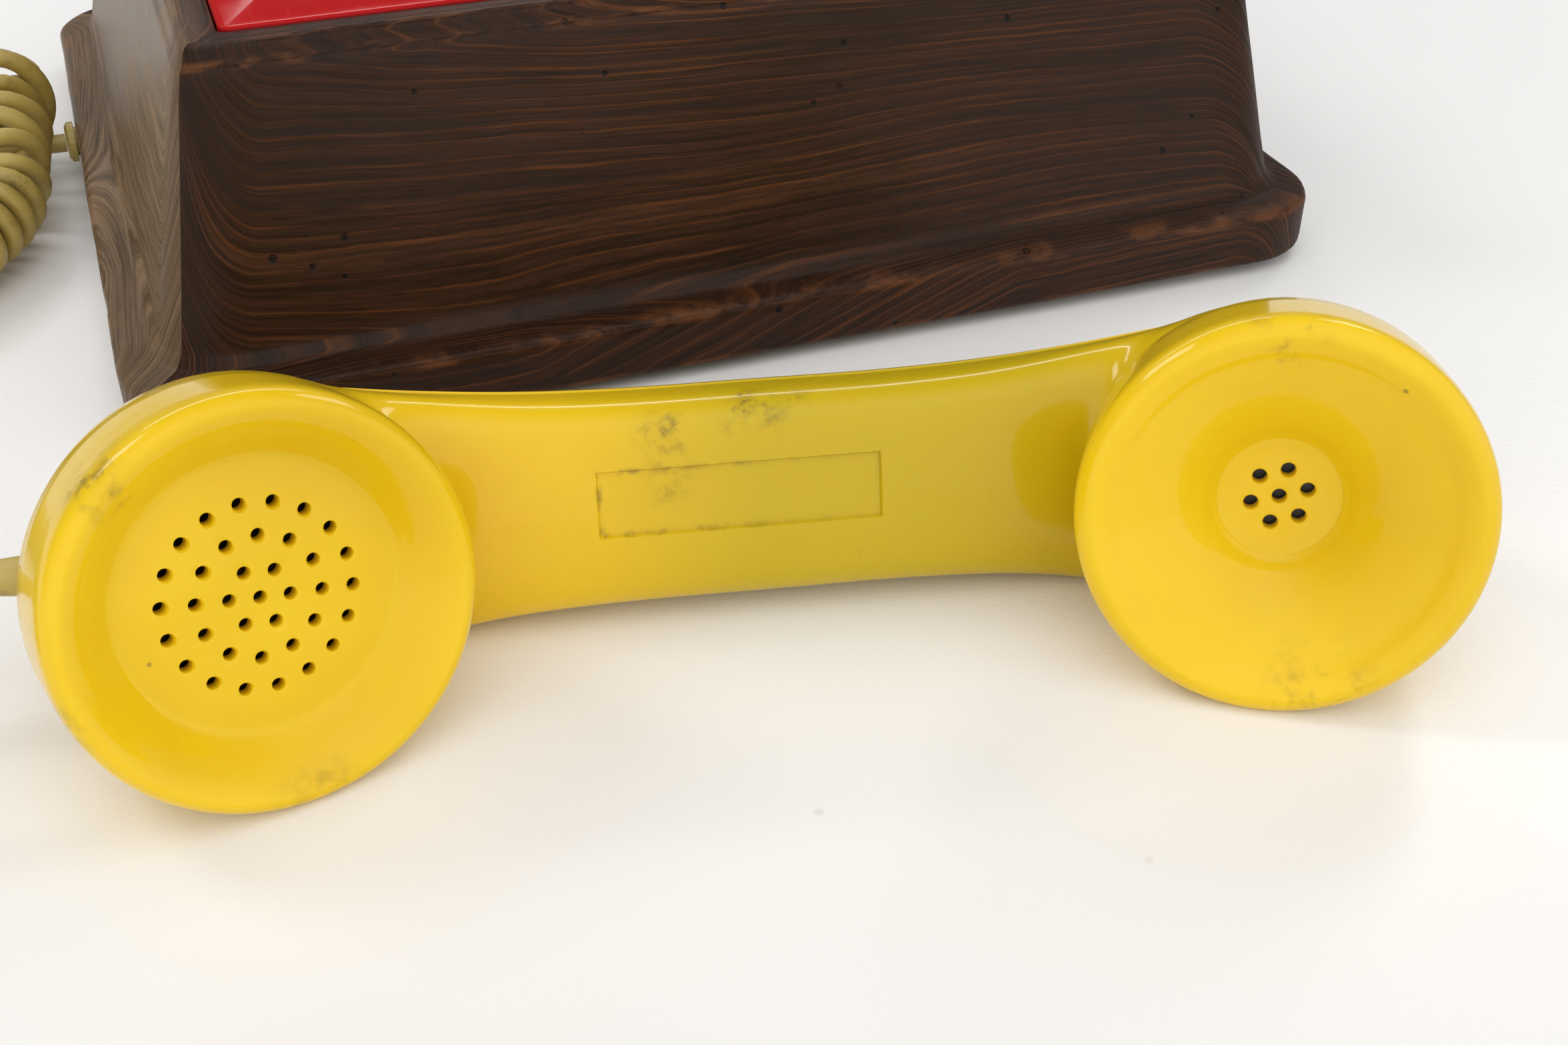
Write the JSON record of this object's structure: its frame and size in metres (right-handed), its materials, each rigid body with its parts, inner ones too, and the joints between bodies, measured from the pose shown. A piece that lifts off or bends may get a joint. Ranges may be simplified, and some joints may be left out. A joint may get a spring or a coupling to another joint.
{
  "type": "rotary wall phone",
  "caption": "Rotary telephone in a tapered dark wood case with an inset gloss panel, dial, hook and ringer, with its moulded handset lying off the hook on a curly cord.",
  "frame": {"origin": "middle of the steel back plate's outer face, which lies against the wall", "axes": "+Z out of the wall through the dial, +X up the wall, +Y to the phone's left as seen from the front"},
  "size_m": [0.3369, 0.3794, 0.0844],
  "materials": {
    "dark_wood": "dark stained, worn satin",
    "red_panel": "high gloss",
    "yellow_plastic": "glossy",
    "cord_vinyl": "satin vinyl",
    "steel": "plated",
    "chrome": "polished",
    "brass": "satin",
    "rubber": "matte",
    "white_enamel": "gloss enamel",
    "black_phenolic": "moulded",
    "enamelled_copper": "enamelled wire",
    "card": "plain paper card",
    "clear_plastic": "clear"
  },
  "bodies": {
    "root": {"back_plate": "steel", "back_screw_1": "steel", "back_screw_2": "steel", "back_screw_3": "steel", "back_screw_4": "steel", "bumper_1": "rubber", "bumper_2": "rubber", "bumper_3": "rubber", "bumper_4": "rubber", "cord_case_tail": "cord_vinyl", "cord_coil": "cord_vinyl", "cord_grommet": "rubber", "cord_handset_tail": "cord_vinyl", "dial_bush": "brass", "dial_frame": "steel", "dial_rear_plate": "steel", "dial_ring": "chrome", "face_panel": "red_panel", "finger_stop": "chrome", "gong_left": "brass", "gong_right": "brass", "gong_screw_left": "steel", "gong_screw_right": "steel", "governor_cup": "brass", "hook_bracket": "steel", "hook_contacts": "brass", "hook_pivot_pin": "steel", "hook_spring": "steel", "line_grommet": "rubber", "loudness_post": "steel", "mainspring": "steel", "network_block": "black_phenolic", "number_plate": "white_enamel", "pulse_contacts": "brass", "ringer_coil": "enamelled_copper", "ringer_frame": "steel", "terminal_block": "black_phenolic", "wood_case": "dark_wood"},
    "finger_wheel": {"finger_wheel": "yellow_plastic", "number_card": "card", "card_window": "clear_plastic", "dial_spindle": "steel", "drive_gear": "brass"},
    "counter": {"counter_shaft": "steel", "counter_gear": "brass", "pulse_cam": "black_phenolic"},
    "governor": {"governor_shaft": "steel", "governor_weights": "brass"},
    "hook": {"hook_lever": "chrome"},
    "clapper": {"clapper": "steel"},
    "loudness": {"loudness_wheel": "black_phenolic"},
    "handset": {"handset_shell": "yellow_plastic", "transmitter_cap": "yellow_plastic", "receiver_cap": "yellow_plastic", "transmitter_capsule": "steel", "contact_cup": "black_phenolic", "receiver_capsule": "steel", "handset_boot": "cord_vinyl"}
  },
  "joints": [
    {"name": "dial_turn", "type": "hinge", "parent": "root", "child": "finger_wheel", "pos_m": [-0.014, 0, 0.0733], "axis": [0, 0, -1], "range_deg": [0, 330], "stiffness_Nm_per_rad": 0.004, "springref_deg": -45.84},
    {"name": "counter_turn", "type": "hinge", "parent": "root", "child": "counter", "pos_m": [0.016, 0, 0.0553], "axis": [0, 0, -1], "range_deg": [-1322, 4]},
    {"name": "governor_turn", "type": "hinge", "parent": "root", "child": "governor", "pos_m": [0.01308, 0.01655, 0.0503], "axis": [0, 0, -1], "range_deg": [-4, 3304]},
    {"name": "hook_swing", "type": "hinge", "parent": "root", "child": "hook", "pos_m": [0.06, 0.07, 0.04], "axis": [0, 0, 1], "range_deg": [0, 14], "stiffness_Nm_per_rad": 0.05, "springref_deg": -17.19},
    {"name": "clapper_swing", "type": "hinge", "parent": "root", "child": "clapper", "pos_m": [0.046, 0, 0.0253], "axis": [0, 0, 1], "range_deg": [-3.4, 3.4]},
    {"name": "loudness_turn", "type": "hinge", "parent": "root", "child": "loudness", "pos_m": [0.101, -0.03, 0.02], "axis": [0, 0, 1], "range_deg": [-60, 60]},
    {"name": "handset_lift", "type": "slide", "parent": "root", "child": "handset", "axis": [0, 0, 1], "range_m": [0, 0.2]}
  ],
  "couplings": [
    {"joint": "counter_turn", "follows": "dial_turn", "ratio": -4},
    {"joint": "governor_turn", "follows": "dial_turn", "ratio": 10}
  ]
}
